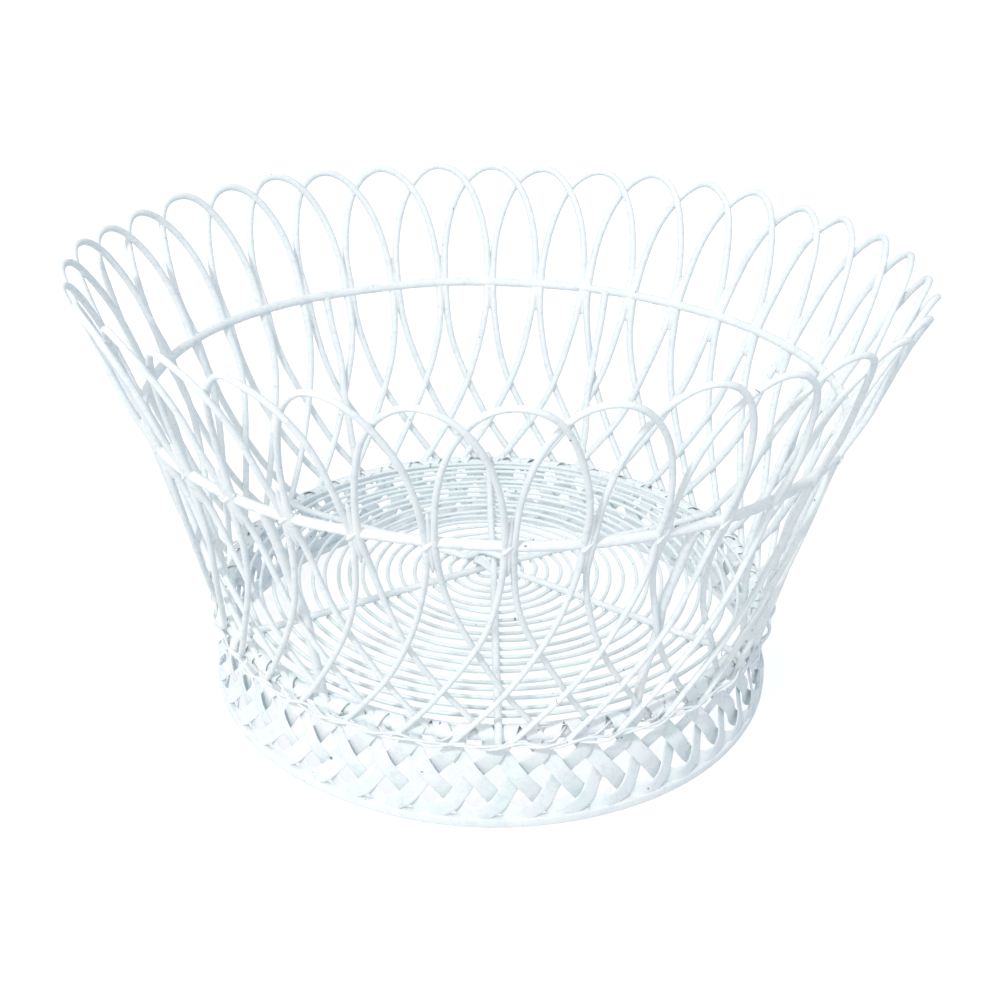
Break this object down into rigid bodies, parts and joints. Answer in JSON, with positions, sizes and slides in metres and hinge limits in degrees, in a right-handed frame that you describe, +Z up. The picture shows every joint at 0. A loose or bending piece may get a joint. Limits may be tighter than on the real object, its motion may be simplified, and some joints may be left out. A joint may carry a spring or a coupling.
{
  "type": "wirework basket",
  "caption": "Round open wirework basket with a flared wall of overlapping loops, a floor of concentric wire rings and a woven ribbon foot.",
  "frame": {"origin": "centre of the underside of the base band, on the surface it stands on", "axes": "+Z up along the axis of the round basket, -Y towards the viewer, +X to the viewer's right"},
  "size_m": [0.363, 0.363, 0.2034],
  "materials": {
    "wall_wire": "aged glossy white paint",
    "ring_wire": "aged glossy white paint",
    "tie_wire": "aged glossy white paint",
    "strut_wire": "aged glossy white paint",
    "spoke_wire": "aged glossy white paint",
    "floor_wire": "aged glossy white paint",
    "foot_ribbon": "aged glossy white paint",
    "base_band": "aged glossy white paint"
  },
  "bodies": {
    "root": {"arch_wire_01": "wall_wire", "arch_wire_02": "wall_wire", "arch_wire_03": "wall_wire", "arch_wire_04": "wall_wire", "arch_wire_05": "wall_wire", "arch_wire_06": "wall_wire", "arch_wire_07": "wall_wire", "arch_wire_08": "wall_wire", "arch_wire_09": "wall_wire", "arch_wire_10": "wall_wire", "arch_wire_11": "wall_wire", "arch_wire_12": "wall_wire", "arch_wire_13": "wall_wire", "arch_wire_14": "wall_wire", "arch_wire_15": "wall_wire", "arch_wire_16": "wall_wire", "arch_wire_17": "wall_wire", "arch_wire_18": "wall_wire", "arch_wire_19": "wall_wire", "arch_wire_20": "wall_wire", "arch_wire_21": "wall_wire", "arch_wire_22": "wall_wire", "arch_wire_23": "wall_wire", "arch_wire_24": "wall_wire", "arch_wire_25": "wall_wire", "arch_wire_26": "wall_wire", "arch_wire_27": "wall_wire", "arch_wire_28": "wall_wire", "arch_wire_29": "wall_wire", "arch_wire_30": "wall_wire", "arch_wire_31": "wall_wire", "arch_wire_32": "wall_wire", "arch_wire_33": "wall_wire", "arch_wire_34": "wall_wire", "arch_wire_35": "wall_wire", "arch_wire_36": "wall_wire", "upper_ring": "ring_wire", "lower_ring_inner": "ring_wire", "lower_ring_outer": "ring_wire", "upper_ring_ties": "tie_wire", "strut_1": "strut_wire", "strut_2": "strut_wire", "strut_3": "strut_wire", "strut_4": "strut_wire", "strut_5": "strut_wire", "strut_6": "strut_wire", "floor_spoke_1": "spoke_wire", "floor_spoke_2": "spoke_wire", "floor_spoke_3": "spoke_wire", "floor_rings": "floor_wire", "foot_ribbons_1": "foot_ribbon", "foot_ribbons_2": "foot_ribbon", "foot_ribbons_3": "foot_ribbon", "foot_ribbons_4": "foot_ribbon", "foot_ribbons_5": "foot_ribbon", "foot_ribbons_6": "foot_ribbon", "foot_ribbons_7": "foot_ribbon", "foot_ribbons_8": "foot_ribbon", "foot_ribbons_9": "foot_ribbon", "base_band": "base_band"}
  },
  "joints": []
}
